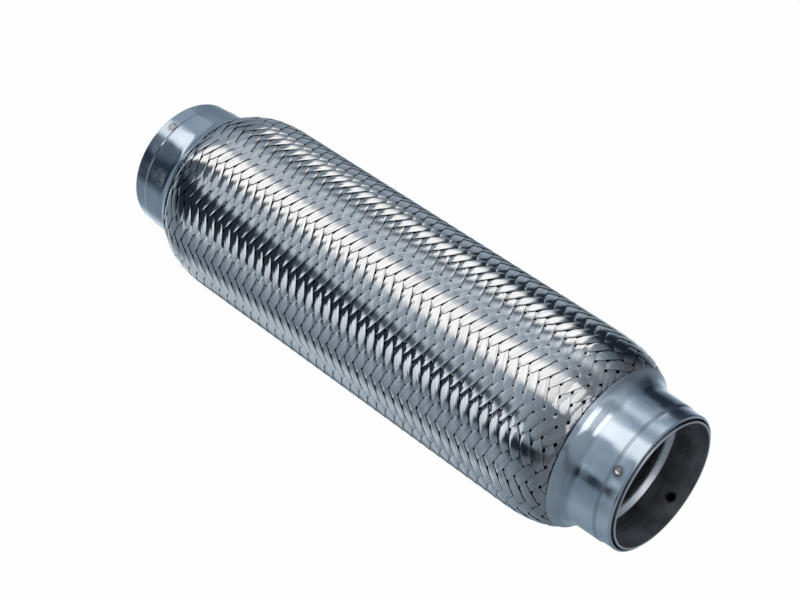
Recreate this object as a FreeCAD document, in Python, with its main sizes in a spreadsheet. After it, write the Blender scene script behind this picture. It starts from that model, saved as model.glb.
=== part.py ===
import FreeCAD, Part
import math
import os

import Sketcher

# Exhaust flex pipe: a woven wire sleeve over a gas-tight bellows, with a wound strip liner inside,
# clamped at both ends between a pressed cap and an inner sleeve.
# The pipe stands on its lower mouth, axis along +Z, lower mouth plane at Z = 0.
# Each end is drawn in depth from its own mouth plane, so both ends share one description.

SIZES = {
    # Whole pipe
    "overall_length": 254.0,
    "bore_radius": 25.0,
    "seat_gap": 0.05,
    # Inner sleeve, from its mouth inwards
    "sleeve_wall": 0.7,
    "sleeve_length": 14.4,
    "sleeve_bend_length": 2.0,
    "sleeve_bend_radius": 1.2,
    "tail_reduction": 1.5,
    "tail_length": 1.5,
    # End cap, from its rim to the edge of its bell: a weld band, a neck, a flare and the bell
    "cap_wall": 0.9,
    "cap_recess": 0.75,
    "rim_radius": 0.8,
    "band_length": 5.9,
    "band_drop": 0.5,
    "band_step_length": 1.2,
    "neck_length": 10.75,
    "neck_taper": 0.15,
    "flare_length": 4.0,
    "flare_rise": 1.85,
    "flare_bend_radius": 6.0,
    "bell_length": 2.2,
    "bell_rise": 2.6,
    "bell_edge_radius": 0.1,
    # Spot welds, at one depth, placed around each end by angle
    "weld_depth": 5.2,
    "weld_radius": 1.3,
    "weld_dimple_radius": 1.0,
    "weld_dimple_depth": 0.35,
    "upper_weld_angle": -81.0,
    "upper_weld_spread": 167.1,
    "lower_weld_angle": -109.3,
    "lower_weld_spread": 180.0,
    # Bellows
    "bellows_wall": 0.3,
    "bellows_setback": 7.0,
    "fold_height": 8.95,
    "fold_pitch": 8.0,
    "fold_margin": 36.0,
    # Strip liner
    "liner_clearance": 0.25,
    "liner_setback": 0.4,
    "turn_pitch": 6.0,
    "turn_margin": 3.0,
    "seam_width": 1.4,
    "seam_depth": 0.45,
    # Woven sleeve
    "braid_setback": 8.2,
    "braid_end_wall": 0.85,
    "braid_bell_gap": 0.25,
    "braid_clearance": 0.45,
    "braid_wall": 0.75,
    "shoulder_wall": 0.9,
    "shoulder_length": 20.0,
    "float_height": 0.75,
    "braid_strands": 24,
    "braid_half_pitch": 2.32,
    "braid_start_angle": -97.9,
    "gap_rings": 2,
    "gap_half_width": 0.8,
    "gap_half_height": 0.6,
}

# Two points closer than this are one point, and edges closer than this are sewn
SAME_POINT = 1e-9
SAME_RING = 1e-4
SEAM = 1e-5

doc = FreeCAD.newDocument("exhaust_flex_pipe")
sheet = doc.addObject("Spreadsheet::Sheet", "Sizes")
for row, (alias, value) in enumerate(SIZES.items(), start=1):
    sheet.set(f"A{row}", alias)
    sheet.set(f"B{row}", str(value))
    sheet.setAlias(f"B{row}", alias)
doc.recompute()


def size(alias):
    return float(sheet.get(alias))


def number(expression):
    return float(sheet.evalExpression(expression))


# Radii, stacked outwards from the bore: sleeve, bellows cuff, braid end, cap
SLEEVE_OUTER = "(Sizes.bore_radius + Sizes.sleeve_wall)"
TAIL_OUTER = f"({SLEEVE_OUTER} - Sizes.tail_reduction)"
CUFF_INNER = f"({SLEEVE_OUTER} + Sizes.seat_gap)"
CUFF_OUTER = f"({CUFF_INNER} + Sizes.bellows_wall)"
BRAID_END_INNER = f"({CUFF_OUTER} + Sizes.seat_gap)"
BRAID_END_OUTER = f"({BRAID_END_INNER} + Sizes.braid_end_wall)"
CLAMP_OUTER = f"({BRAID_END_OUTER} + Sizes.seat_gap + Sizes.cap_wall)"
BAND_OUTER = f"({CLAMP_OUTER} - Sizes.band_drop)"
NECK_OUTER = f"({CLAMP_OUTER} + Sizes.neck_taper)"
FLARE_OUTER = f"({NECK_OUTER} + Sizes.flare_rise)"
BELL_OUTER = f"({FLARE_OUTER} + Sizes.bell_rise)"
# The bell's sloping wall, measured straight across the pipe
BELL_WALL = "(Sizes.cap_wall * sqrt(1 + (Sizes.bell_rise / Sizes.bell_length) ^ 2))"
FOLD_OUTER = f"({CUFF_OUTER} + Sizes.fold_height)"
BRAID_NECK = f"({NECK_OUTER} - Sizes.cap_wall - Sizes.seat_gap)"
BRAID_FLARE = f"({FLARE_OUTER} - {BELL_WALL} - Sizes.braid_bell_gap)"
BRAID_EDGE = f"({BELL_OUTER} - {BELL_WALL} - Sizes.braid_bell_gap)"
FOLD_CLEARED = f"({FOLD_OUTER} + Sizes.braid_clearance)"
LINER_INNER = f"({TAIL_OUTER} + Sizes.seat_gap)"
LINER_OUTER = f"({CUFF_INNER} - Sizes.liner_clearance)"

# Depths from the mouth plane
TAIL_START = "(Sizes.sleeve_length + Sizes.sleeve_bend_length)"
TAIL_END = f"({TAIL_START} + Sizes.tail_length)"
BAND_END = "(Sizes.cap_recess + Sizes.band_length)"
STEP_END = f"({BAND_END} + Sizes.band_step_length)"
NECK_END = f"({STEP_END} + Sizes.neck_length)"
FLARE_END = f"({NECK_END} + Sizes.flare_length)"
BELL_END = f"({FLARE_END} + Sizes.bell_length)"
LINER_START = f"({TAIL_START} + Sizes.liner_setback)"

# The folds and the liner's turns fill the middle, as many as fit
FOLD_COUNT = "floor((Sizes.overall_length - 2 * Sizes.fold_margin) / Sizes.fold_pitch)"
FOLDS_START = f"((Sizes.overall_length - {FOLD_COUNT} * Sizes.fold_pitch) / 2)"
LINER_LENGTH = f"(Sizes.overall_length - 2 * {LINER_START})"
TURN_COUNT = f"floor(({LINER_LENGTH} - 2 * Sizes.turn_margin) / Sizes.turn_pitch)"
TURNS_START = f"((Sizes.overall_length - {TURN_COUNT} * Sizes.turn_pitch) / 2)"


def origin_item(body, role):
    return next(item for item in body.Origin.OriginFeatures if item.Role == role)


def new_body(label):
    body = doc.addObject("PartDesign::Body", label)
    body.Label = label
    return body


def half_section(body, name, corners, bends=None):
    """A closed half section, radius across and depth up, each corner bound to the sheet.

    corners holds (radius, depth) expressions. bends maps the number of a corner to the
    (radius, depth) centre of an arc that replaces the straight side to the next corner.
    """
    bends = bends or {}
    sketch = body.newObject("Sketcher::SketchObject", name)
    sketch.AttachmentSupport = [(origin_item(body, "XZ_Plane"), "")]
    sketch.MapMode = "FlatFace"
    points = [FreeCAD.Vector(number(radius), number(depth), 0) for radius, depth in corners]
    first_end = {}
    last_end = {}
    for i, start in enumerate(points):
        end = points[(i + 1) % len(points)]
        first_end[i], last_end[i] = 1, 2
        if i in bends:
            centre = FreeCAD.Vector(number(bends[i][0]), number(bends[i][1]), 0)
            turn = (start - centre).cross(end - centre).z
            if abs(turn) < SAME_POINT:
                turn = (end - start).cross(FreeCAD.Vector(-1, 0, 0)).z
            if turn < 0:
                first_end[i], last_end[i] = 2, 1
                start, end = end, start
            low = math.atan2(start.y - centre.y, start.x - centre.x)
            high = math.atan2(end.y - centre.y, end.x - centre.x)
            circle = Part.Circle(centre, FreeCAD.Vector(0, 0, 1), (start - centre).Length)
            sketch.addGeometry(Part.ArcOfCircle(circle, low, high), False)
        else:
            sketch.addGeometry(Part.LineSegment(start, end), False)
    for i, (radius, depth) in enumerate(corners):
        after = (i + 1) % len(corners)
        sketch.addConstraint(
            Sketcher.Constraint("Coincident", i, last_end[i], after, first_end[after])
        )
        for kind, axis, value, expression in (
            ("DistanceX", -2, points[i].x, radius),
            ("DistanceY", -1, points[i].y, depth),
        ):
            if abs(value) < SAME_POINT:
                sketch.addConstraint(Sketcher.Constraint("PointOnObject", i, first_end[i], axis))
                continue
            index = sketch.addConstraint(
                Sketcher.Constraint(kind, -1, 1, i, first_end[i], value)
            )
            sketch.setExpression(f"Constraints[{index}]", expression)
    for i, (radius, depth) in bends.items():
        index = sketch.addConstraint(
            Sketcher.Constraint("DistanceX", -1, 1, i, 3, number(radius))
        )
        sketch.setExpression(f"Constraints[{index}]", radius)
    sketch.Visibility = False
    return sketch


def revolve(body, name, sketch, kind="PartDesign::Revolution"):
    feature = body.newObject(kind, name)
    feature.Profile = sketch
    feature.ReferenceAxis = (sketch, ["V_Axis"])
    feature.Angle = 360
    doc.recompute()
    return feature


def ring_edges(feature, rings):
    """The names of the circular edges at the given (radius, depth) places."""
    names = []
    for radius, depth in rings:
        for index, edge in enumerate(feature.Shape.Edges, start=1):
            if not isinstance(edge.Curve, Part.Circle):
                continue
            off_radius = abs(edge.Curve.Radius - number(radius))
            off_depth = abs(edge.Curve.Center.z - number(depth))
            if off_radius < SAME_RING and off_depth < SAME_RING:
                names.append(f"Edge{index}")
    return names


def round_rings(body, name, feature, rings, radius):
    fillet = body.newObject("PartDesign::Fillet", name)
    fillet.Base = (feature, ring_edges(feature, rings))
    fillet.setExpression("Radius", radius)
    doc.recompute()
    return fillet


def shell_inwards(body, name, feature, wall):
    """Hollow the solid to a sheet of the given wall, open at both flat ends."""
    ends = []
    for index, face in enumerate(feature.Shape.Faces, start=1):
        if isinstance(face.Surface, Part.Plane):
            ends.append(f"Face{index}")
    shell = body.newObject("PartDesign::Thickness", name)
    shell.Base = (feature, ends)
    shell.Reversed = True
    shell.Mode = 0
    shell.Join = 0
    shell.setExpression("Value", wall)
    doc.recompute()
    return shell


def pattern_along(body, name, originals, count, pitch):
    pattern = body.newObject("PartDesign::LinearPattern", name)
    pattern.Originals = originals
    pattern.Direction = (origin_item(body, "Z_Axis"), [""])
    pattern.setExpression("Length", f"({count} - 1) * {pitch}")
    pattern.setExpression("Occurrences", count)
    body.Tip = pattern
    doc.recompute()
    return pattern


# End caps and inner sleeves, both pressed from sheet


def end_cap(label):
    body = new_body(label)
    outline = [
        ("0", "Sizes.cap_recess"),
        (BAND_OUTER, "Sizes.cap_recess"),
        (BAND_OUTER, BAND_END),
        (CLAMP_OUTER, STEP_END),
        (NECK_OUTER, NECK_END),
        (FLARE_OUTER, FLARE_END),
        (BELL_OUTER, BELL_END),
        ("0", BELL_END),
    ]
    blank = revolve(body, f"{label}_blank", half_section(body, f"{label}_outline", outline))
    flare_bends = [(NECK_OUTER, NECK_END), (FLARE_OUTER, FLARE_END)]
    flared = round_rings(
        body, f"{label}_flare", blank, flare_bends, "Sizes.flare_bend_radius"
    )
    sheet_cap = shell_inwards(body, f"{label}_sheet", flared, "Sizes.cap_wall")
    rim = [(BAND_OUTER, "Sizes.cap_recess")]
    rimmed = round_rings(body, f"{label}_rim", sheet_cap, rim, "Sizes.rim_radius")
    bell_edge = [(BELL_OUTER, BELL_END)]
    round_rings(body, f"{label}_bell_edge", rimmed, bell_edge, "Sizes.bell_edge_radius")
    return body


def inner_sleeve(label):
    body = new_body(label)
    outline = [
        ("0", "0"),
        (SLEEVE_OUTER, "0"),
        (SLEEVE_OUTER, "Sizes.sleeve_length"),
        (TAIL_OUTER, TAIL_START),
        (TAIL_OUTER, TAIL_END),
        ("0", TAIL_END),
    ]
    blank = revolve(body, f"{label}_blank", half_section(body, f"{label}_outline", outline))
    bends = [(SLEEVE_OUTER, "Sizes.sleeve_length"), (TAIL_OUTER, TAIL_START)]
    necked = round_rings(body, f"{label}_bends", blank, bends, "Sizes.sleeve_bend_radius")
    shell_inwards(body, f"{label}_sheet", necked, "Sizes.sleeve_wall")
    return body


# Spot welds: a round nugget through cap and sleeve, dished on both faces

DIMPLE_BALL = (
    "((Sizes.weld_dimple_radius ^ 2 + Sizes.weld_dimple_depth ^ 2)"
    " / (2 * Sizes.weld_dimple_depth))"
)


def radial_cylinder(name, angle):
    """A cylinder lying across the pipe at weld depth, from the axis out past the cap."""
    cylinder = doc.addObject("Part::Cylinder", name)
    cylinder.setExpression("Radius", "Sizes.weld_radius")
    cylinder.setExpression("Height", f"{BAND_OUTER} + Sizes.cap_wall")
    cylinder.setExpression("Placement.Base.z", "Sizes.weld_depth")
    turn = f"rotation(vector(0; 0; 1); {angle}) * rotation(vector(0; 1; 0); 90)"
    cylinder.setExpression("Placement.Rotation", turn)
    return cylinder


def dimple_ball(name, angle, face_radius, side):
    """A ball that dishes one face of a weld: side is 1 on the cap and -1 in the bore."""
    ball = doc.addObject("Part::Sphere", name)
    reach = f"({face_radius} + {side} * ({DIMPLE_BALL} - Sizes.weld_dimple_depth))"
    ball.setExpression("Radius", DIMPLE_BALL)
    ball.setExpression("Placement.Base.x", f"{reach} * cos({angle} * 1 deg)")
    ball.setExpression("Placement.Base.y", f"{reach} * sin({angle} * 1 deg)")
    ball.setExpression("Placement.Base.z", "Sizes.weld_depth")
    return ball


def plain_cylinder(name, radius):
    cylinder = doc.addObject("Part::Cylinder", name)
    cylinder.setExpression("Radius", radius)
    cylinder.setExpression("Height", BAND_END)
    return cylinder


def fused(name, shapes):
    fusion = doc.addObject("Part::MultiFuse", name)
    fusion.Shapes = shapes
    return fusion


def combined(kind, name, base, tool):
    result = doc.addObject(kind, name)
    result.Label = name
    result.Base = base
    result.Tool = tool
    return result


def pipe_end(side, angle, spread):
    """The cap, the sleeve and their two welds, drawn in depth from the mouth at Z = 0."""
    angles = [angle, f"({angle} + {spread})"]
    weld_bars = fused(
        f"{side}_weld_bars",
        [radial_cylinder(f"{side}_weld_bar_{i}", turn) for i, turn in enumerate(angles)],
    )
    wall = combined(
        "Part::Cut",
        f"{side}_weld_span",
        plain_cylinder(f"{side}_weld_reach", BAND_OUTER),
        plain_cylinder(f"{side}_weld_bore", "Sizes.bore_radius"),
    )
    nuggets = combined("Part::Common", f"{side}_nuggets", wall, weld_bars)
    balls = []
    for i, turn in enumerate(angles):
        balls.append(dimple_ball(f"{side}_cap_dimple_{i}", turn, BAND_OUTER, 1))
        balls.append(dimple_ball(f"{side}_bore_dimple_{i}", turn, "Sizes.bore_radius", -1))
    dimples = fused(f"{side}_dimples", balls)
    cap = end_cap(f"{side}_cap_pressing")
    sleeve = inner_sleeve(f"{side}_sleeve_tube")
    return [
        combined("Part::Cut", f"{side}_end_cap", cap, weld_bars),
        combined("Part::Cut", f"{side}_inner_sleeve", sleeve, weld_bars),
        combined("Part::Cut", f"{side}_spot_welds", nuggets, dimples),
    ]


def turn_over(pieces):
    """Put an end's pieces at the top of the pipe, mouth up."""
    for piece in pieces:
        piece.setExpression("Placement.Base.z", "Sizes.overall_length")
        piece.setExpression("Placement.Rotation", "rotation(vector(1; 0; 0); 180)")


# Bellows: rolled U folds, with a straight cuff at each end under the cap's neck


def bellows():
    body = new_body("bellows")
    half_wall = "Sizes.bellows_wall / 2"
    bend = "Sizes.fold_pitch / 4"
    large = f"({bend} + {half_wall})"
    small = f"({bend} - {half_wall})"
    root = f"({CUFF_INNER} + {large})"
    crest = f"({FOLD_OUTER} - {large})"
    start = FOLDS_START
    middle = f"({start} + Sizes.fold_pitch / 2)"
    end = f"({start} + Sizes.fold_pitch)"
    fold = [
        (CUFF_INNER, start),
        (root, f"{start} + {large}"),
        (crest, f"{start} + {large}"),
        (crest, f"{end} - {large}"),
        (root, f"{end} - {large}"),
        (CUFF_INNER, end),
        (CUFF_OUTER, end),
        (root, f"{end} - {small}"),
        (crest, f"{end} - {small}"),
        (crest, f"{start} + {small}"),
        (root, f"{start} + {small}"),
        (CUFF_OUTER, start),
    ]
    arcs = {
        0: (root, start),
        2: (crest, middle),
        4: (root, end),
        6: (root, end),
        8: (crest, middle),
        10: (root, start),
    }
    first = revolve(body, "first_fold", half_section(body, "fold_section", fold, arcs))
    pattern_along(body, "folds", [first], FOLD_COUNT, "Sizes.fold_pitch")
    far_end = f"(Sizes.overall_length - {start})"
    cuffs = {
        "lower_cuff": ("Sizes.bellows_setback", start),
        "upper_cuff": (far_end, "(Sizes.overall_length - Sizes.bellows_setback)"),
    }
    for name, (low, high) in cuffs.items():
        section = [(CUFF_INNER, low), (CUFF_OUTER, low), (CUFF_OUTER, high), (CUFF_INNER, high)]
        revolve(body, name, half_section(body, f"{name}_section", section))
    return body


# Liner: wound strip, its seams showing as a groove per turn, inside and outside by turns


def ring_section(inner, outer, low, high):
    return [(inner, low), (outer, low), (outer, high), (inner, high)]


def interlock_liner():
    body = new_body("interlock_liner")
    far_end = f"(Sizes.overall_length - {LINER_START})"
    tube = ring_section(LINER_INNER, LINER_OUTER, LINER_START, far_end)
    revolve(body, "liner_tube", half_section(body, "liner_tube_section", tube))
    inner_low = f"({TURNS_START} + Sizes.turn_pitch / 4 - Sizes.seam_width / 2)"
    outer_low = f"({TURNS_START} + Sizes.turn_pitch * 3 / 4 - Sizes.seam_width / 2)"
    seams = {
        "inner_seam": (
            f"({LINER_INNER} - Sizes.seam_depth)",
            f"({LINER_INNER} + Sizes.seam_depth)",
            inner_low,
        ),
        "outer_seam": (
            f"({LINER_OUTER} - Sizes.seam_depth)",
            f"({LINER_OUTER} + Sizes.seam_depth)",
            outer_low,
        ),
    }
    grooves = []
    for name, (inner, outer, low) in seams.items():
        section = ring_section(inner, outer, low, f"({low} + Sizes.seam_width)")
        sketch = half_section(body, f"{name}_section", section)
        grooves.append(revolve(body, name, sketch, "PartDesign::Groove"))
    pattern_along(body, "seams", grooves, TURN_COUNT, "Sizes.turn_pitch")
    return body


# Woven sleeve. The wires cross on a grid of columns around the pipe and rows along it, where
# crossings and the small gaps between four strands take turns like the squares of a chessboard.
# Every strand runs over two crossings and under two, so two neighbouring crossings share a float
# and the pattern comes back every four columns.

REPEAT = 4
# Share of the shoulder after which the inner face of the woven sleeve runs straight
INNER_TURN = 0.8


class Braid:
    def __init__(self):
        self.columns = REPEAT * round(2 * size("braid_strands") / REPEAT)
        self.low_edge = number(BELL_END)
        self.high_edge = size("overall_length") - self.low_edge
        span = self.high_edge - self.low_edge
        self.rows = 2 * round(span / (2 * size("braid_half_pitch")))
        self.step = span / self.rows
        self.chord = math.cos(math.pi / self.columns)
        self.edge_radius = number(BRAID_EDGE)
        self.inner_radius = number(FOLD_CLEARED)
        self.floor_radius = self.inner_radius + size("braid_wall")
        # Rows of real gaps, where the weave opens beside each cap
        near_rows = list(range(1, round(size("gap_rings")) + 1))
        self.gap_rows = near_rows + [self.rows - row for row in near_rows]
        # Rows at which the plain inner face turns: past the gaps, and near the shoulder's end
        past_gaps = len(near_rows) + 1
        straight_from = INNER_TURN * size("shoulder_length")
        self.shoulder_rows = max(math.ceil(straight_from / self.step), past_gaps + 1)
        turns = [0, past_gaps, self.shoulder_rows]
        self.inner_rows = turns + [self.rows - row for row in reversed(turns)]
        self.facets = []

    def point(self, column, radius, height):
        turn = math.radians(size("braid_start_angle") + 360 * column / self.columns)
        return FreeCAD.Vector(radius * math.cos(turn), radius * math.sin(turn), height)

    def height(self, row):
        return self.low_edge + row * self.step

    def swell(self, row):
        """How far the sleeve has opened out beyond the cap, from 0 at its edge to 1."""
        run = min(row, self.rows - row) * self.step
        share = min(run / size("shoulder_length"), 1)
        return math.sqrt(1 - (1 - share) ** 2)

    def outer(self, column, row):
        rise = self.swell(row)
        radius = self.edge_radius + (self.floor_radius - self.edge_radius) * rise
        if self.is_crossing(column, row):
            radius += size("float_height") * rise
        return self.point(column, radius, self.height(row))

    def inner_ring_radius(self, row):
        if row in (self.shoulder_rows, self.rows - self.shoulder_rows):
            return self.inner_radius
        floor = self.edge_radius + (self.floor_radius - self.edge_radius) * self.swell(row)
        return floor - size("shoulder_wall")

    def inner(self, column, row, lift=0):
        """A point of the plain inner face at a row's height, in the plane of its facet."""
        low = max(r for r in self.inner_rows if r <= row)
        high = min(r for r in self.inner_rows if r >= row)
        radius = self.inner_ring_radius(low)
        if high > low:
            slope = (self.inner_ring_radius(high) - radius) / (high - low)
            radius += slope * (row - low + lift / self.step)
        return self.point(column, radius, self.height(row) + lift)

    @staticmethod
    def is_crossing(column, row):
        return (column + row) % 2 == 1

    def is_gap(self, column, row):
        return row in self.gap_rows and not self.is_crossing(column, row)

    def gap_rim(self, column, row):
        """The four corners of a gap, east, north, west and south, outside and inside."""
        middle = self.outer(column, row)
        outside = []
        inside = []
        sides = ((1, 0), (0, 1), (-1, 0), (0, -1))
        for across, up in sides:
            beyond = self.outer(column + across, row + up)
            reach = size("gap_half_width") if across else size("gap_half_height")
            outside.append(middle + (beyond - middle).normalize() * reach)
            if across:
                near = self.inner(column, row)
                far = self.inner(column + across, row)
                inside.append(near + (far - near).normalize() * reach)
            else:
                inside.append(self.inner(column, row, up * reach))
        return outside, inside

    def add_facet(self, points):
        self.facets.append(Part.Face(Part.makePolygon(points + [points[0]])))

    def add_fan(self, points):
        for i in range(1, len(points) - 1):
            self.add_facet([points[0], points[i], points[i + 1]])

    def cell_corner(self, column, row, rim_pair):
        """One corner of a cell as a list of (point, is crossing), two points at a gap."""
        if self.is_gap(column, row):
            outside = self.gap_rim(column, row)[0]
            return [(outside[i], False) for i in rim_pair]
        return [(self.outer(column, row), self.is_crossing(column, row))]

    def add_cell(self, column, row):
        """Two triangles that meet in the crest of a float, or in the valley between floats."""
        loop = self.cell_corner(column, row, (1, 0))
        loop += self.cell_corner(column + 1, row, (2, 1))
        loop += self.cell_corner(column + 1, row + 1, (3, 2))
        loop += self.cell_corner(column, row + 1, (0, 3))
        crossings = [i for i, (_, crossing) in enumerate(loop) if crossing]
        points = [point for point, _ in loop]
        rising = self.is_crossing(column, row)
        ridge = column % REPEAT == (0 if rising else REPEAT // 2)
        if ridge:
            first, second = crossings
            self.add_fan(points[first:second + 1])
            self.add_fan(points[second:] + points[:first + 1])
            return
        for i in crossings:
            self.add_facet([points[i - 1], points[i], points[(i + 1) % len(points)]])
        rest = [point for i, point in enumerate(points) if i not in crossings]
        if len(rest) > 2:
            self.add_fan(rest)

    def add_inner_strip(self, column, low, high):
        """One flat facet of the inner face, notched where half a gap cuts each side."""
        right = [self.inner(column + 1, low)]
        left = [self.inner(column, low)]
        for row in range(low + 1, high):
            if self.is_gap(column + 1, row):
                _, north, west, south = self.gap_rim(column + 1, row)[1]
                right += [south, west, north]
            if self.is_gap(column, row):
                east, north, _, south = self.gap_rim(column, row)[1]
                left += [south, east, north]
        right.append(self.inner(column + 1, high))
        left.append(self.inner(column, high))
        self.add_facet(right + left[::-1])

    def add_gap_walls(self, column, row):
        outside, inside = self.gap_rim(column, row)
        for i in range(4):
            after = (i + 1) % 4
            self.add_facet([outside[i], outside[after], inside[after]])
            self.add_facet([outside[i], inside[after], inside[i]])

    def add_clamped_end(self, column, top):
        """The end of the wall under the cap: up the flare, then flat on the bellows cuff."""
        length = size("overall_length")
        seat = number(BRAID_END_INNER) / self.chord
        flare = number(BRAID_FLARE)
        outline = [
            (self.edge_radius, number(BELL_END)),
            (flare, number(FLARE_END)),
            (number(BRAID_NECK), number(NECK_END)),
            (number(BRAID_END_OUTER), size("braid_setback")),
            (seat, size("braid_setback")),
            (seat, number(NECK_END)),
            (flare - size("shoulder_wall"), number(FLARE_END)),
            (self.inner_ring_radius(0), number(BELL_END)),
        ]
        for (radius, depth), (next_radius, next_depth) in zip(outline, outline[1:]):
            low = length - depth if top else depth
            high = length - next_depth if top else next_depth
            self.add_facet(
                [
                    self.point(column, radius, low),
                    self.point(column + 1, radius, low),
                    self.point(column + 1, next_radius, high),
                    self.point(column, next_radius, high),
                ]
            )

    def solid(self):
        for column in range(self.columns):
            for row in range(self.rows):
                self.add_cell(column, row)
            for low, high in zip(self.inner_rows, self.inner_rows[1:]):
                self.add_inner_strip(column, low, high)
            for row in self.gap_rows:
                if self.is_gap(column, row):
                    self.add_gap_walls(column, row)
            self.add_clamped_end(column, False)
            self.add_clamped_end(column, True)
        wall = Part.makeCompound(self.facets)
        wall.sewShape(SEAM)
        return Part.makeSolid(wall.Shells[0] if wall.Shells else wall)


def outer_braid():
    feature = doc.addObject("Part::Feature", "outer_braid")
    feature.Label = "outer_braid"
    feature.Shape = Braid().solid()
    feature.Placement = FreeCAD.Placement()
    return feature


lower_pieces = pipe_end("lower", "Sizes.lower_weld_angle", "Sizes.lower_weld_spread")
# Turned over, the upper end's angles run the other way
upper_pieces = pipe_end("upper", "(-Sizes.upper_weld_angle)", "(-Sizes.upper_weld_spread)")
turn_over(upper_pieces)
pieces = lower_pieces + upper_pieces + [bellows(), interlock_liner(), outer_braid()]
doc.recompute()

for item in doc.Objects:
    if "Invalid" in item.State or "Error" in item.State:
        raise RuntimeError(f"{item.Name} did not build: {item.State}")
for piece in pieces:
    if piece.Shape.isNull() or not piece.Shape.isValid() or not piece.Shape.Solids:
        raise RuntimeError(f"{piece.Label} is not a sound solid")

os.makedirs("parts", exist_ok=True)
for piece in pieces:
    piece.Shape.exportStep(os.path.join("parts", f"{piece.Label}.step"))
    volume = sum(solid.Volume for solid in piece.Shape.Solids)
    print(f"{piece.Label}: {len(piece.Shape.Solids)} solids, {volume:.1f} mm3")
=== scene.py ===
import math
import random

import bmesh
import bpy
from mathutils import Matrix, Vector


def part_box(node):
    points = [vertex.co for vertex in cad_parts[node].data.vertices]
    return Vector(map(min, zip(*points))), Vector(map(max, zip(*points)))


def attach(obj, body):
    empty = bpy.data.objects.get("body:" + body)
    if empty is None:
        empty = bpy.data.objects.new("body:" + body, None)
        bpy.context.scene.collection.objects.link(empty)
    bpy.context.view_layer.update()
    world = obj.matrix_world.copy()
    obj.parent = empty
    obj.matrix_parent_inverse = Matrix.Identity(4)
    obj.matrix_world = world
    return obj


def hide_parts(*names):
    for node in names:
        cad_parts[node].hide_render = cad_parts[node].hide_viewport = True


# Looks of an exhaust flex pipe: a woven sleeve of bright wire between two pressed steel end caps.
# Lengths are in millimetres until a mesh is finished, where MM turns them to metres.

MM = 0.001

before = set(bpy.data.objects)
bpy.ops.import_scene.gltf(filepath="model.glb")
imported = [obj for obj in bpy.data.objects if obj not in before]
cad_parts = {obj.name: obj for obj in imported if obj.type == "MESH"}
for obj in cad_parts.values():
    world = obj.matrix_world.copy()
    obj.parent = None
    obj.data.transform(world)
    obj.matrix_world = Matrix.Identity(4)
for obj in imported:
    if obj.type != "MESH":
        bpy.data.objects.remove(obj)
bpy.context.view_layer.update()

# Sizes read from the frame
PIPE_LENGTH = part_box("upper_inner_sleeve")[1].z / MM
BELL_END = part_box("lower_end_cap")[1].z / MM
BELL_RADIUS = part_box("lower_end_cap")[1].x / MM
BRAID_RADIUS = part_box("outer_braid")[1].x / MM

# Welds: depth from the mouth, radius outside and in the bore, and angles in degrees round the pipe
WELD_DEPTH = 5.2
BAND_RADIUS = 27.4
BORE_RADIUS = 25.0
UPPER_WELD_ANGLES = (-81.0, 86.1)
LOWER_WELD_ANGLES = (-109.3, 70.7)

# How strongly the dents in each cap's sheet show: the upper one came less even from the press
UPPER_DENTS = 0.6
LOWER_DENTS = 0.35

# Woven sleeve: 24 strands wind each way, each a flat band of parallel wires that passes over two
# strands and then under two. The crossings lie on a grid of columns round the pipe and rows along it.
STRANDS_EACH_WAY = 24
COLUMNS = 2 * STRANDS_EACH_WAY
COLUMN_ANGLE = 2 * math.pi / COLUMNS
FIRST_COLUMN_ANGLE = math.radians(-97.9)
ROWS = 88
ROW_PITCH = (PIPE_LENGTH - 2 * BELL_END) / ROWS
PASS_COLUMNS = 2
REPEAT = 2 * PASS_COLUMNS
PASS_MIDDLE = 0.5

# One strand: its wires, and its section with a rounded crown
WIRES = 10
STRAND_WIDTH = 4.08
STRAND_THICKNESS = 0.28
WIRE_RELIEF = 0.014
WIRE_UNEVENNESS = 0.006
CROWN = 0.06
CROWN_POWER = 4
MERGE_DISTANCE = 0.0001
SHARP_EDGE = math.radians(50)

# How a strand rises and dives: it dives only a share of the height that it rises. It is level for
# so many columns each side of the middle of a pass, and takes so many to dive. Its rings lie at
# these steps, in columns, from the middle of one pass to the next.
FLOAT_LIFT = 0.3
DIVE_SHARE = 0.45
LEVEL_COLUMNS = 0.6
DIVE_COLUMNS = 0.8
DIVE_CRISPNESS = 0.45
RING_STEPS = (0, 0.5, 0.8, 1.0, 1.2, 1.5)

# How a strand is gathered in where it dives and near the caps. The power is even, and a higher one
# makes the gathered part shorter.
DIVE_NARROWING = 0.27
GATHER_POWER = 6
END_NARROWING = 0.18

# How the sleeve is drawn in at each end. So many rows run on under the bell of the cap, out of
# sight, and fall so much for each millimetre.
SHOULDER_LENGTH = 20.0
BELL_GAP = 1.6
HIDDEN_ROWS = 1
HIDDEN_SLOPE = 0.9

# How far a strand wanders sideways. Its waves turn by so much a column, in radians.
WANDER = 0.06
END_WANDER = 0.12
SHORT_WAVE = 0.31
LONG_WAVE = 0.17
OTHER_END_TURN = 3

# Camera and stage, in metres
CAMERA_PLACE = Vector((0.0, -0.58273, 0.48636))
CAMERA_RIGHT = Vector((-0.56095, 0.43521, 0.70422))
CAMERA_UP = Vector((-0.82784, -0.29859, -0.47489))
CAMERA_BACK = Vector((0.00359, -0.84937, 0.52778))
CAMERA_LENS = 81.27
SENSOR_WIDTH = 36.0
LAMP_DISTANCE = 0.9
FLOOR_RADIUS = 1.5

# Share of the floor's white that is its own, so that only a faint shadow shows on it
FLOOR_GLOW = 0.97

# Light of the room, strongest at the height of the pipe
ROOM_STRENGTH = 1.7
OVERHEAD_STRENGTH = 1.1

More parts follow.
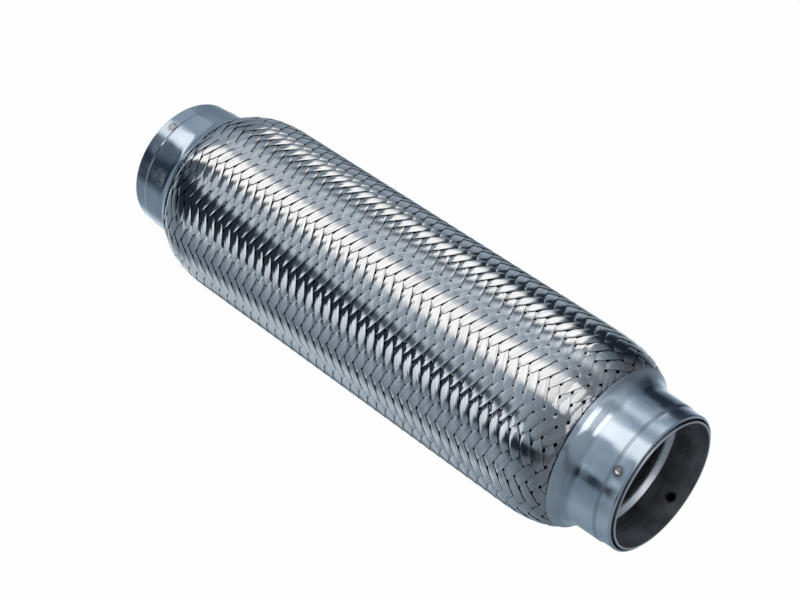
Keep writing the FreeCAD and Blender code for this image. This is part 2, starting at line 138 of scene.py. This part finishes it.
# Where one height of the room's walls gives way to the next, as the Z of a unit direction, and
# where the light falls off overhead. The plain ceiling covers only a share of the walls' tones.
FOOT_TO_WAIST = (-0.625, -0.605)
WAIST_TO_HEAD = (-0.46, -0.4)
HEAD_TO_CEILING = (-0.1, 0.4)
CEILING_SHARE = 0.4
DIMMED_OVERHEAD = (-0.3, 0.1)

# Sizes of the marks in the metal, in millimetres. Grit and brush lines are really a tenth of a
# millimetre or less, too fine to show, and are drawn as coarse as they need to be.
CAST_PATCH = 22.0
WEAR_PATCH = 3.4
DENT_WIDTH = 13.3
DENT_DEPTH = 0.8
GRIT_SIZE = 0.4
GRIT_DEPTH = 0.05
BRUSH_LINE = 0.7
BRUSH_STROKE = 17.0
SCRATCH_DEPTH = 0.08
HANDLING_CLOUD = 8.4
WELD_GRAIN = 1.1
MILL_MOTTLE = 3.8
SHADE_LENGTH = 34.5

# How far the heat of a weld has marked the metal from its middle, in millimetres
RING_REACH = 3.0
SOOT_REACH = 2.6
BURN_REACH = 1.9

# The wire is drawn darker towards the upper cap: from this far below the cap's edge to this far under
# it
DARKER_BELOW = 20.0
DARKER_UNDER = 10.0

# Of the outermost wire's width, the share drawn in painted shade where the strand meets its
# neighbours, and how dark the painted shade lines between the wires are drawn
EDGE_SHADOW = 0.4
LINE_DARKNESS = 0.7

# Roughness of the cap's sheet where it is rubbed bright and where it is satin, and of the brushed
# tube where it is clean and where it is cloudy
SHEET_ROUGHNESS = (0.06, 0.2)
TUBE_ROUGHNESS = (0.12, 0.58)

# Tones of the room that the metal mirrors
WHITE = "#FFFFFF"
PEARL = "#DCE4EA"
SILVER = "#B4BDC5"
STEEL = "#8E9AA5"
PEWTER = "#707C87"
SLATE = "#4C5762"
NAVY = "#222A34"

# Walls of the room at three heights, each a ramp once round it, from the -X side by way of -Y
HEAD_HEIGHT_WALLS = (
    (0.02, STEEL),
    (0.06, PEARL),
    (0.1, STEEL),
    (0.13, SILVER),
    (0.15, WHITE),
    (0.22, WHITE),
    (0.24, STEEL),
    (0.36, STEEL),
    (0.38, NAVY),
    (0.41, NAVY),
    (0.43, PEWTER),
    (0.53, STEEL),
    (0.72, PEWTER),
    (0.78, SILVER),
    (0.85, PEWTER),
    (0.89, NAVY),
    (0.95, NAVY),
    (0.98, PEWTER),
)
WAIST_HEIGHT_WALLS = (
    (0.01, WHITE),
    (0.04, SLATE),
    (0.07, SILVER),
    (0.13, SILVER),
    (0.15, WHITE),
    (0.21, WHITE),
    (0.24, SILVER),
    (0.29, SILVER),
    (0.31, SLATE),
    (0.33, SLATE),
    (0.35, PEARL),
    (0.38, PEARL),
    (0.45, STEEL),
    (0.53, PEWTER),
    (0.57, SILVER),
    (0.66, STEEL),
    (0.8, SLATE),
    (0.87, STEEL),
    (0.94, PEWTER),
    (0.97, WHITE),
)
FOOT_HEIGHT_WALLS = (
    (0.02, STEEL),
    (0.11, STEEL),
    (0.13, WHITE),
    (0.19, WHITE),
    (0.21, SLATE),
    (0.27, SLATE),
    (0.31, NAVY),
    (0.43, NAVY),
    (0.47, PEWTER),
    (0.6, PEWTER),
    (0.66, SILVER),
    (0.73, SILVER),
    (0.85, PEWTER),
)


def linear(hex_colour):
    """An sRGB hex colour as the linear colour that the shaders work in."""
    shares = [int(hex_colour[i:i + 2], 16) / 255 for i in (1, 3, 5)]
    bent = [s / 12.92 if s <= 0.04045 else ((s + 0.055) / 1.055) ** 2.4 for s in shares]
    return (*bent, 1.0)


# Meshes


def finish_piece(name, mesh, material, node):
    """Make the mesh a piece of the pipe, in metres, that stands for a CAD node."""
    bmesh.ops.scale(mesh, vec=(MM, MM, MM), verts=mesh.verts)
    for face in mesh.faces:
        face.smooth = True
    data = bpy.data.meshes.new(name)
    mesh.to_mesh(data)
    mesh.free()
    data.materials.append(material)
    piece = bpy.data.objects.new(name, data)
    bpy.context.scene.collection.objects.link(piece)
    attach(piece, "root")
    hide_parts(node)
    return piece


# Woven sleeve


def mouth_depth(height):
    """Depth from the nearer mouth."""
    return min(height, PIPE_LENGTH - height)


def swell(depth):
    """How far the sleeve has opened out beyond the cap, from 0 at the cap's edge to 1."""
    share = min(max((depth - BELL_END) / SHOULDER_LENGTH, 0), 1)
    return math.sqrt(1 - (1 - share) ** 2)


def crest_radius(depth):
    """Radius of the highest wires at a depth."""
    edge = BELL_RADIUS - BELL_GAP
    radius = edge + (BRAID_RADIUS - edge) * swell(depth)
    return radius - HIDDEN_SLOPE * max(BELL_END - depth, 0)


def over_and_under(column):
    """1 where a strand lies over others and -1 where it lies under: over at columns 0 and 1."""
    phase = (column - PASS_MIDDLE) % REPEAT
    phase = min(phase, REPEAT - phase)
    slide = min(max((phase - LEVEL_COLUMNS) / DIVE_COLUMNS, 0), 1)
    dive = 1 - 2 * slide * slide * (3 - 2 * slide)
    wave = math.cos(math.pi * phase / PASS_COLUMNS)
    return DIVE_CRISPNESS * dive + (1 - DIVE_CRISPNESS) * wave


def gathering(column):
    """Share of its width that a strand has: it is gathered in where it dives."""
    dive = math.sin(math.pi * (column - PASS_MIDDLE) / PASS_COLUMNS)
    return 1 - DIVE_NARROWING * dive ** GATHER_POWER


def strand_stations(first, last):
    """Columns at which a strand's rings lie, closer together where it dives."""
    start = math.floor(first / PASS_COLUMNS) * PASS_COLUMNS + PASS_MIDDLE
    passes = math.ceil((last - start) / PASS_COLUMNS)
    return [start + PASS_COLUMNS * i + step for i in range(passes) for step in RING_STEPS]


def strand_section():
    """Points of a strand's section: a crest and a valley for each wire, then the flat back."""
    steps = 2 * WIRES
    top = STRAND_THICKNESS / 2
    section = []
    for i in range(steps + 1):
        height = top if i % 2 else top - WIRE_RELIEF
        section.append(((i / steps - 0.5) * STRAND_WIDTH, height))
    return section + [(STRAND_WIDTH / 2, -top), (-STRAND_WIDTH / 2, -top)]


def strand_mesh(number, rising):
    """A flat band of wires, wound round the pipe over two strands and under two.

    A flat grid is bent into the strand: its rows become the rings along it, set slantwise so
    that they run with the strands that it crosses.
    """
    chance = random.Random(f"{number} {rising}")
    short_drift, long_drift, end_drift, _ = [chance.uniform(0, 2 * math.pi) for i in range(4)]
    section = strand_section()
    wire_lift = [chance.uniform(-WIRE_UNEVENNESS, WIRE_UNEVENNESS) for point in section]
    lean = 1 if rising else -1
    first_column = 2 * number + 1
    if not rising:
        first_column -= ROWS
    stations = strand_stations(first_column - HIDDEN_ROWS, first_column + ROWS + HIDDEN_ROWS)
    arc = BRAID_RADIUS * COLUMN_ANGLE
    crossing = 2 * arc * ROW_PITCH / math.hypot(arc, ROW_PITCH)

    mesh = bmesh.new()
    strand_map = mesh.loops.layers.uv.new("strand")
    bmesh.ops.create_grid(
        mesh,
        x_segments=len(section),
        y_segments=len(stations) - 1,
        size=0.5,
        calc_uvs=True,
    )
    for face in mesh.faces:
        for loop in face.loops:
            loop[strand_map].uv.y += number
    for vertex in mesh.verts:
        ring = round((vertex.co.y + 0.5) * (len(stations) - 1))
        place = round((vertex.co.x + 0.5) * len(section)) % len(section)
        column = stations[ring]
        across, height = section[place]
        passed = column - first_column
        row = passed if rising else ROWS - passed
        near_end = 1 - swell(mouth_depth(BELL_END + row * ROW_PITCH))
        across *= gathering(column) * (1 - END_NARROWING * near_end)
        short_wave = math.sin(SHORT_WAVE * column + short_drift)
        long_wave = math.sin(LONG_WAVE * column + long_drift)
        across += WANDER * short_wave * long_wave
        end_turn = OTHER_END_TURN if row > ROWS / 2 else 0
        across += END_WANDER * near_end * math.sin(end_drift + end_turn)
        side = across / crossing
        angle = FIRST_COLUMN_ANGLE + (column + side) * COLUMN_ANGLE
        z = BELL_END + (row - lean * side) * ROW_PITCH
        lift = over_and_under(column) * lean * FLOAT_LIFT
        if lift < 0:
            lift *= DIVE_SHARE
        crown = CROWN * (2 * across / STRAND_WIDTH) ** CROWN_POWER
        radius = crest_radius(mouth_depth(z)) - FLOAT_LIFT - STRAND_THICKNESS / 2
        radius += lift + height + wire_lift[place] - crown
        vertex.co = (radius * math.cos(angle), radius * math.sin(angle), z)
    bmesh.ops.remove_doubles(mesh, verts=mesh.verts, dist=MERGE_DISTANCE)
    bmesh.ops.recalc_face_normals(mesh, faces=mesh.faces)
    return mesh


def woven_sleeve(material):
    for number in range(STRANDS_EACH_WAY):
        for rising in (True, False):
            name = f"strand_{'right' if rising else 'left'}_{number + 1:02d}"
            mesh = strand_mesh(number, rising)
            piece = finish_piece(name, mesh, material, "outer_braid")
            piece.data.set_sharp_from_angle(angle=SHARP_EDGE)


# Materials


def add_node(tree, kind, inputs=None, stops=(), **settings):
    """Add a node with its settings, its sockets' values or links, and the stops of its ramp."""
    node = tree.nodes.new("ShaderNode" + kind)
    for name, value in settings.items():
        setattr(node, name, value)
    for socket, value in (inputs or {}).items():
        if isinstance(value, bpy.types.NodeSocket):
            tree.links.new(value, node.inputs[socket])
        else:
            node.inputs[socket].default_value = value
    for number, (position, hex_colour) in enumerate(stops):
        if number < 2:
            stop = node.color_ramp.elements[number]
            stop.position = position
        else:
            stop = node.color_ramp.elements.new(position)
        stop.color = linear(hex_colour)
    return node


def every(size):
    """The scale of a pattern that repeats at a size in millimetres."""
    return 1 / (size * MM)


def steel(name, roughness):
    """A bare metal material, its node tree and its shader's sockets.

    The roughness is that of the plain metal, where no pattern takes its place.
    """
    material = bpy.data.materials.new(name)
    material.use_nodes = True
    shader = material.node_tree.nodes["Principled BSDF"]
    shader.inputs["Metallic"].default_value = 1.0
    shader.inputs["Roughness"].default_value = roughness
    return material, material.node_tree, shader.inputs


def heat_tint(tree, place, colour, spots, reach, stops):
    """Multiply a colour by a ramp of the distance from each of some spots.

    The spots and the reach of the ramp are in millimetres.
    """
    for spot in spots:
        away = add_node(tree, "VectorMath", {0: place, 1: spot * MM}, operation="DISTANCE")
        span = add_node(
            tree,
            "MapRange",
            {"Value": away.outputs["Value"], "From Min": 0.0, "From Max": reach * MM},
        )
        tint = add_node(tree, "ValToRGB", {"Fac": span.outputs["Result"]}, stops=stops)
        tinted = add_node(
            tree,
            "Mix",
            {0: 1.0, 6: colour, 7: tint.outputs["Color"]},
            data_type="RGBA",
            blend_type="MULTIPLY",
        )
        colour = tinted.outputs[2]
    return colour


# Pressed stainless sheet, cleaned but not polished: satin, blue-grey, and a little uneven, so
# that what it reflects breaks up into soft patches. Each weld left a thin brown ring round it.
def pressed_sheet(welds, dent_strength):
    material, tree, surface = steel("pressed_stainless_sheet", roughness=0.23)
    place = add_node(tree, "TexCoord").outputs["Object"]
    cast = add_node(
        tree,
        "TexNoise",
        {"Vector": place, "Scale": every(CAST_PATCH), "Detail": 3.0},
    )
    bare = add_node(
        tree,
        "ValToRGB",
        {"Fac": cast.outputs["Fac"]},
        stops=((0.35, "#A5AFB9"), (0.65, "#BFC8D1")),
    )
    ring = ((0.0, "#75615A"), (0.46, "#7A665C"), (0.56, "#D2C5BB"), (0.9, "#FFFFFF"))
    colour = heat_tint(tree, place, bare.outputs["Color"], welds, RING_REACH, ring)
    tree.links.new(colour, surface["Base Color"])
    wear = add_node(
        tree,
        "TexNoise",
        {"Vector": place, "Scale": every(WEAR_PATCH), "Detail": 4.0},
    )
    worn = add_node(
        tree,
        "MapRange",
        {
            "Value": wear.outputs["Fac"],
            "To Min": SHEET_ROUGHNESS[0],
            "To Max": SHEET_ROUGHNESS[1],
        },
    )
    tree.links.new(worn.outputs["Result"], surface["Roughness"])
    dents = add_node(
        tree,
        "TexNoise",
        {"Vector": place, "Scale": every(DENT_WIDTH), "Detail": 1.0},
    )
    dented = add_node(
        tree,
        "Bump",
        {
            "Height": dents.outputs["Fac"],
            "Strength": dent_strength,
            "Distance": DENT_DEPTH * MM,
        },
    )
    grit = add_node(
        tree,
        "TexNoise",
        {"Vector": place, "Scale": every(GRIT_SIZE), "Detail": 1.0},
    )
    grainy = add_node(
        tree,
        "Bump",
        {
            "Height": grit.outputs["Fac"],
            "Strength": 0.2,
            "Distance": GRIT_DEPTH * MM,
            "Normal": dented.outputs["Normal"],
        },
    )
    tree.links.new(grainy.outputs["Normal"], surface["Normal"])
    return material


# Stainless tube brushed as it turned: greyer than the cap, with fine lines round it, cloudy from
# handling, and black round each weld.
def brushed_tube(welds):
    material, tree, surface = steel("brushed_stainless_tube", roughness=0.3)
    place = add_node(tree, "TexCoord").outputs["Object"]
    stroke, line = every(BRUSH_STROKE), every(BRUSH_LINE)
    drawn_out = add_node(tree, "Mapping", {"Vector": place, "Scale": (stroke, stroke, line)})
    lines = add_node(
        tree,
        "TexNoise",
        {"Vector": drawn_out.outputs["Vector"], "Scale": 1.0, "Detail": 3.0},
    )
    shade = add_node(
        tree,
        "ValToRGB",
        {"Fac": lines.outputs["Fac"]},
        stops=((0.3, "#A9ABAF"), (0.7, "#C6C8CC")),
    )
    soot = ((0.0, "#141212"), (0.5, "#1C1816"), (0.62, "#8F7F74"), (1.0, "#FFFFFF"))
    colour = heat_tint(tree, place, shade.outputs["Color"], welds, SOOT_REACH, soot)
    tree.links.new(colour, surface["Base Color"])
    clouds = add_node(
        tree,
        "TexNoise",
        {"Vector": place, "Scale": every(HANDLING_CLOUD), "Detail": 3.0},
    )
    worn = add_node(
        tree,
        "MapRange",
        {
            "Value": clouds.outputs["Fac"],
            "To Min": TUBE_ROUGHNESS[0],
            "To Max": TUBE_ROUGHNESS[1],
        },
    )
    tree.links.new(worn.outputs["Result"], surface["Roughness"])
    scratches = add_node(
        tree,
        "Bump",
        {"Height": lines.outputs["Fac"], "Strength": 0.2, "Distance": SCRATCH_DEPTH * MM},
    )
    tree.links.new(scratches.outputs["Normal"], surface["Normal"])
    return material


# Bright drawn stainless wire: ten to a strand, side by side, so that a strand shines as a flat
# ribbon with fine dark lines of painted shade where the wires meet, painted shade along its edges,
# and each wire a little unlike the next. It is drawn darker towards the upper cap.
def drawn_wire():
    material, tree, surface = steel("bright_drawn_wire", roughness=0.08)
    place = add_node(tree, "UVMap", uv_map="strand").outputs["UV"]
    # The map runs round the section, where a wire takes two points, and along the strand.
    wires_across = 0.5 * len(strand_section())
    column_length = math.hypot(BRAID_RADIUS * COLUMN_ANGLE, ROW_PITCH)
    shades_along = column_length * (ROWS + 2 * HIDDEN_ROWS) / SHADE_LENGTH
    laid = add_node(
        tree,
        "Mapping",
        {"Vector": place, "Scale": (wires_across, shades_along, 1.0)},
    )
    wire_by_wire = add_node(
        tree,
        "TexNoise",
        {"Vector": laid.outputs["Vector"], "Scale": 1.0, "Detail": 1.0},
    )
    shade = add_node(
        tree,
        "ValToRGB",
        {"Fac": wire_by_wire.outputs["Fac"]},
        stops=((0.3, "#BDBDBE"), (0.65, "#DDDCDB")),
    )
    # A wire is one unit wide: this is 0 where two wires meet and 0.5 on the crest of one.
    axes = add_node(tree, "SeparateXYZ", {"Vector": laid.outputs["Vector"]})
    valley = add_node(tree, "Math", {0: axes.outputs["X"], 1: 0.5}, operation="PINGPONG")
    # The dark lines where two wires meet are painted shade in the valleys between them.
    line = add_node(
        tree,
        "ValToRGB",
        {"Fac": valley.outputs["Value"]},
        stops=((0.04, "#646A71"), (0.22, "#FFFFFF")),
    )
    lined = add_node(
        tree,
        "Mix",
        {0: LINE_DARKNESS, 6: shade.outputs["Color"], 7: line.outputs["Color"]},
        data_type="RGBA",
        blend_type="MULTIPLY",
    )
    off_middle = add_node(
        tree,
        "Math",
        {0: axes.outputs["X"], 1: WIRES / 2},
        operation="SUBTRACT",
    )
    outwards = add_node(tree, "Math", {0: off_middle.outputs["Value"]}, operation="ABSOLUTE")
    # The outermost wires are darkened: painted shade along each strand's edges, where it meets the
    # strands beside and under it.
    edge = add_node(
        tree,
        "MapRange",
        {
            "Value": outwards.outputs["Value"],
            "From Min": WIRES / 2 - EDGE_SHADOW,
            "From Max": WIRES / 2,
        },
    )
    painted_edge_shade = add_node(
        tree,
        "ValToRGB",
        {"Fac": edge.outputs["Result"]},
        stops=((0.0, "#FFFFFF"), (0.6, "#7A8087"), (1.0, "#1C1E21")),
    )
    edged = add_node(
        tree,
        "Mix",
        {0: 1.0, 6: lined.outputs[2], 7: painted_edge_shade.outputs["Color"]},
        data_type="RGBA",
        blend_type="MULTIPLY",
    )
    # The wire is drawn darker towards the upper cap.
    whereabouts = add_node(tree, "TexCoord").outputs["Object"]
    height = add_node(tree, "SeparateXYZ", {"Vector": whereabouts})
    cap_edge = (PIPE_LENGTH - BELL_END) * MM
    near_cap = add_node(
        tree,
        "MapRange",
        {
            "Value": height.outputs["Z"],
            "From Min": cap_edge - DARKER_BELOW * MM,
            "From Max": cap_edge + DARKER_UNDER * MM,
        },
    )
    darkened = add_node(
        tree,
        "Mix",
        {0: near_cap.outputs["Result"], 6: edged.outputs[2], 7: linear("#76787B")},
        data_type="RGBA",
    )
    tree.links.new(darkened.outputs[2], surface["Base Color"])
    return material


# Spot weld: a small dished nugget, silver in the dish on the cap, brown at its edge and burnt
# black in the bore.
def weld_metal(cap_welds, bore_welds):
    material, tree, surface = steel("heat_tinted_weld", roughness=0.3)
    place = add_node(tree, "TexCoord").outputs["Object"]
    mottle = add_node(
        tree,
        "TexNoise",
        {"Vector": place, "Scale": every(WELD_GRAIN), "Detail": 2.0},
    )
    bare = add_node(
        tree,
        "ValToRGB",
        {"Fac": mottle.outputs["Fac"]},
        stops=((0.35, "#A9A4A5"), (0.65, "#D2CFD0")),
    )
    colour = bare.outputs["Color"]
    edge = ((0.0, "#FFFFFF"), (0.36, "#FFFFFF"), (0.46, "#7A665C"), (1.0, "#FFFFFF"))
    colour = heat_tint(tree, place, colour, cap_welds, RING_REACH, edge)
    soot = ((0.0, "#2A2422"), (0.7, "#1A1615"), (1.0, "#FFFFFF"))
    colour = heat_tint(tree, place, colour, bore_welds, BURN_REACH, soot)
    tree.links.new(colour, surface["Base Color"])
    return material


# Thin rolled stainless sheet and strip, dull as the mill leaves them. The bellows' near-black tones
# are painted shade, deep inside the pipe behind the weave.
def mill_finish(name, dark, light):
    material, tree, surface = steel(name, roughness=0.4)
    place = add_node(tree, "TexCoord").outputs["Object"]
    mottle = add_node(
        tree,
        "TexNoise",
        {"Vector": place, "Scale": every(MILL_MOTTLE), "Detail": 3.0},
    )
    shade = add_node(
        tree,
        "ValToRGB",
        {"Fac": mottle.outputs["Fac"]},
        stops=((0.3, dark), (0.7, light)),
    )
    tree.links.new(shade.outputs["Color"], surface["Base Color"])
    return material


def weld_place(radius, angle, height):
    """The middle of a weld, in millimetres, from its angle in degrees."""
    turn = math.radians(angle)
    return Vector((radius * math.cos(turn), radius * math.sin(turn), height))


def dress_cad_node(node, material):
    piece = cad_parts[node]
    piece.data.materials.clear()
    piece.data.materials.append(material)


# Stage


def photo_camera():
    data = bpy.data.cameras.new("photo_camera")
    data.sensor_width = SENSOR_WIDTH
    data.lens = CAMERA_LENS
    camera = bpy.data.objects.new("photo_camera", data)
    turned = Matrix((CAMERA_RIGHT, CAMERA_UP, CAMERA_BACK)).transposed()
    camera.matrix_world = Matrix.Translation(CAMERA_PLACE) @ turned.to_4x4()
    bpy.context.scene.collection.objects.link(camera)
    bpy.context.scene.camera = camera


def softbox(name, azimuth, elevation, width, height, power):
    """A rectangular lamp that faces the middle of the pipe.

    Its place round the pipe and above it is in degrees, its size in metres, its power in watts.
    """
    data = bpy.data.lights.new(name, "AREA")
    data.shape = "RECTANGLE"
    data.size = width
    data.size_y = height
    data.energy = power
    lamp = bpy.data.objects.new(name, data)
    flat = math.cos(math.radians(elevation))
    away = Vector(
        (
            math.cos(math.radians(azimuth)) * flat,
            math.sin(math.radians(azimuth)) * flat,
            math.sin(math.radians(elevation)),
        )
    )
    middle = Vector((0, 0, PIPE_LENGTH * MM / 2))
    lamp.location = middle + away * LAMP_DISTANCE
    lamp.rotation_mode = "QUATERNION"
    lamp.rotation_quaternion = away.to_track_quat("Z", "Y")
    bpy.context.scene.collection.objects.link(lamp)


def white_floor():
    """A floor that shows white, with a faint shadow, and lets the room's light past it."""
    mesh = bmesh.new()
    bmesh.ops.create_circle(mesh, cap_ends=True, segments=96, radius=FLOOR_RADIUS)
    data = bpy.data.meshes.new("floor")
    mesh.to_mesh(data)
    mesh.free()
    floor = bpy.data.objects.new("floor", data)
    bpy.context.scene.collection.objects.link(floor)
    material = bpy.data.materials.new("white_paper")
    material.use_nodes = True
    tree = material.node_tree
    output = tree.nodes["Material Output"]
    paper = tree.nodes["Principled BSDF"]
    paper.inputs["Base Color"].default_value = linear(WHITE)
    paper.inputs["Roughness"].default_value = 1.0
    paper.inputs["Specular IOR Level"].default_value = 0.0
    glow = add_node(tree, "Emission", {"Color": linear(WHITE), "Strength": 1.0})
    shown = add_node(
        tree,
        "MixShader",
        {0: FLOOR_GLOW, 1: paper.outputs["BSDF"], 2: glow.outputs["Emission"]},
    )
    clear = add_node(tree, "BsdfTransparent")
    seen = add_node(tree, "LightPath").outputs["Is Camera Ray"]
    either = add_node(
        tree,
        "MixShader",
        {0: seen, 1: clear.outputs["BSDF"], 2: shown.outputs["Shader"]},
    )
    tree.links.new(either.outputs["Shader"], output.inputs["Surface"])
    data.materials.append(material)


def studio_room():
    """White to the eye. What the metal mirrors is a room of soft white, grey and blue walls."""
    world = bpy.data.worlds.new("studio_room")
    bpy.context.scene.world = world
    world.use_nodes = True
    tree = world.node_tree
    walls = tree.nodes["Background"]
    direction = add_node(tree, "TexCoord").outputs["Generated"]
    axes = add_node(tree, "SeparateXYZ", {"Vector": direction})
    bearing = add_node(
        tree,
        "Math",
        {0: axes.outputs["Y"], 1: axes.outputs["X"]},
        operation="ARCTAN2",
    )
    turn = add_node(
        tree,
        "MapRange",
        {"Value": bearing.outputs["Value"], "From Min": -math.pi, "From Max": math.pi},
    )
    foot_height, waist_height, head_height = [
        add_node(tree, "ValToRGB", {"Fac": turn.outputs["Result"]}, stops=stops)
        for stops in (FOOT_HEIGHT_WALLS, WAIST_HEIGHT_WALLS, HEAD_HEIGHT_WALLS)
    ]
    kneeling = add_node(
        tree,
        "MapRange",
        {
            "Value": axes.outputs["Z"],
            "From Min": FOOT_TO_WAIST[0],
            "From Max": FOOT_TO_WAIST[1],
        },
        interpolation_type="SMOOTHSTEP",
    )
    standing = add_node(
        tree,
        "MapRange",
        {
            "Value": axes.outputs["Z"],
            "From Min": WAIST_TO_HEAD[0],
            "From Max": WAIST_TO_HEAD[1],
        },
        interpolation_type="SMOOTHSTEP",
    )
    low_half = add_node(
        tree,
        "Mix",
        {
            0: kneeling.outputs["Result"],
            6: foot_height.outputs["Color"],
            7: waist_height.outputs["Color"],
        },
        data_type="RGBA",
    )
    tall = add_node(
        tree,
        "Mix",
        {
            0: standing.outputs["Result"],
            6: low_half.outputs[2],
            7: head_height.outputs["Color"],
        },
        data_type="RGBA",
    )
    above = add_node(
        tree,
        "MapRange",
        {
            "Value": axes.outputs["Z"],
            "From Min": HEAD_TO_CEILING[0],
            "From Max": HEAD_TO_CEILING[1],
            "To Max": CEILING_SHARE,
        },
    )
    room = add_node(
        tree,
        "Mix",
        {0: above.outputs["Result"], 6: tall.outputs[2], 7: linear(SILVER)},
        data_type="RGBA",
    )
    tree.links.new(room.outputs[2], walls.inputs["Color"])
    overhead = add_node(
        tree,
        "MapRange",
        {
            "Value": axes.outputs["Z"],
            "From Min": DIMMED_OVERHEAD[0],
            "From Max": DIMMED_OVERHEAD[1],
            "To Min": ROOM_STRENGTH,
            "To Max": OVERHEAD_STRENGTH,
        },
    )
    tree.links.new(overhead.outputs["Result"], walls.inputs["Strength"])
    white = add_node(tree, "Background", {"Color": linear(WHITE), "Strength": 1.0})
    seen = add_node(tree, "LightPath").outputs["Is Camera Ray"]
    either = add_node(
        tree,
        "MixShader",
        {0: seen, 1: walls.outputs["Background"], 2: white.outputs["Background"]},
    )
    tree.links.new(either.outputs["Shader"], tree.nodes["World Output"].inputs["Surface"])


bpy.context.scene.view_settings.view_transform = "Standard"
photo_camera()
white_floor()
studio_room()
softbox("wide_softbox", azimuth=-112, elevation=14, width=0.6, height=0.35, power=0.7)
softbox("high_softbox", azimuth=-113, elevation=55, width=0.48, height=0.5, power=0.85)

ends = (
    ("lower", LOWER_WELD_ANGLES, WELD_DEPTH, LOWER_DENTS),
    ("upper", UPPER_WELD_ANGLES, PIPE_LENGTH - WELD_DEPTH, UPPER_DENTS),
)
for side, weld_angles, weld_height, dent_strength in ends:
    cap_welds = [weld_place(BAND_RADIUS, angle, weld_height) for angle in weld_angles]
    bore_welds = [weld_place(BORE_RADIUS, angle, weld_height) for angle in weld_angles]
    dress_cad_node(f"{side}_end_cap", pressed_sheet(cap_welds, dent_strength))
    dress_cad_node(f"{side}_inner_sleeve", brushed_tube(bore_welds))
    dress_cad_node(f"{side}_spot_welds", weld_metal(cap_welds, bore_welds))
# The bellows are coloured near black: painted shade, so that the gaps in the weave show dark.
dress_cad_node("bellows", mill_finish("rolled_bellows_sheet", "#1E2023", "#34363A"))
dress_cad_node("interlock_liner", mill_finish("wound_liner_strip", "#77797C", "#A6A8AC"))
woven_sleeve(drawn_wire())
